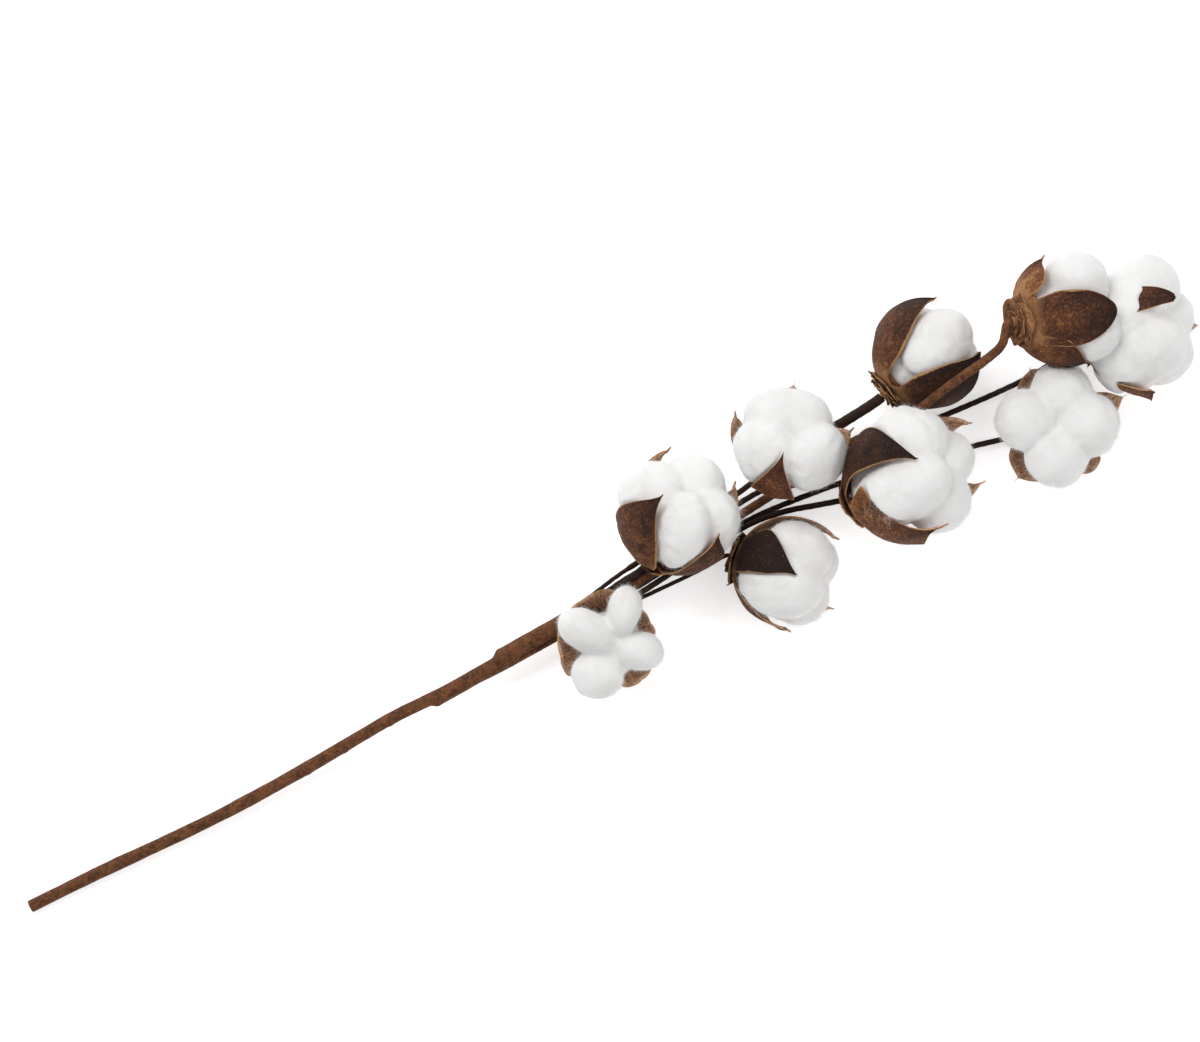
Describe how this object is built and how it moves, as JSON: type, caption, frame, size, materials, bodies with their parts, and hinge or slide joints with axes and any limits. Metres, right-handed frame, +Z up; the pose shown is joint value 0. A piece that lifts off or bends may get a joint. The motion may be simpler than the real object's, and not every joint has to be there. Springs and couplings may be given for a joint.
{
  "type": "cotton stem bunch",
  "caption": "Spray of opened white cotton bolls in brown husks, on thin wire sticks bound with brown paper tape into one long stem, lying flat.",
  "frame": {"origin": "middle of the footprint, on the surface that the spray lies on", "axes": "+X runs along the stem from its cut end to the top boll, +Z points up from the surface, +Y is to the left of +X seen from above"},
  "size_m": [0.5338, 0.0984, 0.0691],
  "materials": {
    "cotton": "soft white cotton fibre",
    "husk": "dry brown husk, matte",
    "paper_tape": "brown paper tape, matte",
    "dark_paper": "dark brown paper, matte",
    "wire": "brown-wrapped steel wire"
  },
  "bodies": {
    "root": {"stem_tape": "paper_tape", "stem_wire": "wire", "stick_1": "dark_paper", "stick_2": "dark_paper", "stick_3": "dark_paper", "stick_4": "dark_paper", "stick_5": "dark_paper", "stick_6": "dark_paper", "stick_7": "dark_paper", "stick_9": "dark_paper", "husk_1": "husk", "husk_2": "husk", "husk_3": "husk", "husk_4": "husk", "husk_5": "husk", "husk_6": "husk", "husk_7": "husk", "husk_8": "husk", "husk_9": "husk", "cotton_1": "cotton", "cotton_2": "cotton", "cotton_3": "cotton", "cotton_4": "cotton", "cotton_5": "cotton", "cotton_6": "cotton", "cotton_7": "cotton", "cotton_8": "cotton", "cotton_9": "cotton"}
  },
  "joints": []
}
